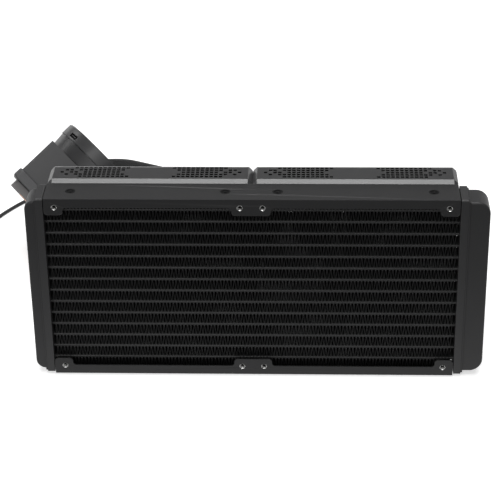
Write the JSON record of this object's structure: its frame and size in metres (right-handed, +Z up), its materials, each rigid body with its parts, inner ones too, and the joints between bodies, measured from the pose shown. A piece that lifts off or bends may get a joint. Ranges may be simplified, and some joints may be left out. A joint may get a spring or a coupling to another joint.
{
  "type": "all in one CPU liquid cooler",
  "caption": "Closed-loop liquid cooler for a processor: a radiator with screwed-on fans, a round-capped pump head and the hoses between them.",
  "frame": {"origin": "centre of the screw hole pattern in the front face of the radiator", "axes": "+X to the right along the radiator, +Y to the back towards the fans and the pump head, +Z up"},
  "size_m": [0.4162, 0.2751, 0.1401],
  "materials": {
    "painted_metal": "satin black powder coat",
    "tank_metal": "satin black powder coat",
    "plug_metal": "satin black",
    "core_metal": "black paint",
    "fin_metal": "black paint",
    "fan_plastic": "fine matt",
    "rotor_plastic": "satin",
    "head_plastic": "fine matt",
    "base_plastic": "fine matt",
    "bracket_plastic": "matt",
    "collar_plastic": "satin",
    "cap_plastic": "satin",
    "fitting_plastic": "satin",
    "inner_plastic": "matt",
    "glass": "polished black",
    "display": "polished black",
    "circuit_board": "satin",
    "copper": "brushed",
    "winding_copper": "enamelled",
    "bearing_bronze": "satin",
    "magnet": "matt",
    "steel": "ground",
    "screw_steel": "black oxide",
    "rubber": "matt",
    "hose_rubber": "satin sleeve",
    "sleeve": "satin black",
    "cable_rubber": "satin"
  },
  "bodies": {
    "cooler": {"base_frame": "base_plastic", "base_gasket": "rubber", "base_screws": "screw_steel", "cable_coil": "cable_rubber", "cable_connector": "inner_plastic", "cable_grommet": "rubber", "cap_ring": "cap_plastic", "cold_plate": "copper", "collar": "collar_plastic", "control_board": "circuit_board", "coolant_tubes": "core_metal", "display_glass": "glass", "display_panel": "display", "elbow_seals": "rubber", "fin_strips": "fin_metal", "head_hose_sleeves": "sleeve", "hose_ports": "painted_metal", "impeller_shaft": "steel", "isolation_can": "inner_plastic", "jet_plate": "inner_plastic", "left_fan_bearing": "bearing_bronze", "left_fan_circuit_board": "circuit_board", "left_fan_frame": "fan_plastic", "left_fan_pads": "rubber", "left_fan_screws": "screw_steel", "left_fan_stator": "winding_copper", "left_header": "painted_metal", "left_tank": "tank_metal", "lower_elbow": "fitting_plastic", "lower_hose": "hose_rubber", "mounting_ring": "bracket_plastic", "plate_plugs": "plug_metal", "port_hose_sleeves": "sleeve", "pump_body": "head_plastic", "pump_cable": "cable_rubber", "pump_stator": "winding_copper", "radiator_bottom_plate": "painted_metal", "radiator_top_plate": "painted_metal", "right_fan_bearing": "bearing_bronze", "right_fan_circuit_board": "circuit_board", "right_fan_frame": "fan_plastic", "right_fan_pads": "rubber", "right_fan_screws": "screw_steel", "right_fan_stator": "winding_copper", "right_header": "painted_metal", "right_tank": "tank_metal", "upper_elbow": "fitting_plastic", "upper_hose": "hose_rubber"},
    "left_rotor": {"left_fan_rotor": "rotor_plastic", "left_fan_shaft": "steel", "left_fan_magnet": "magnet"},
    "right_rotor": {"right_fan_rotor": "rotor_plastic", "right_fan_shaft": "steel", "right_fan_magnet": "magnet"},
    "pump_rotor": {"impeller": "inner_plastic", "impeller_magnet": "magnet"}
  },
  "joints": [
    {"name": "left_fan_spin", "type": "hinge", "parent": "cooler", "child": "left_rotor", "pos_m": [-0.06985, 0.0365, 0], "axis": [0, 1, 0], "continuous": true},
    {"name": "right_fan_spin", "type": "hinge", "parent": "cooler", "child": "right_rotor", "pos_m": [0.06985, 0.0365, 0], "axis": [0, 1, 0], "continuous": true},
    {"name": "impeller_spin", "type": "hinge", "parent": "cooler", "child": "pump_rotor", "pos_m": [-0.14973, 0.16178, -0.01584], "axis": [0.7102, 0.4262, 0.5603], "continuous": true}
  ]
}
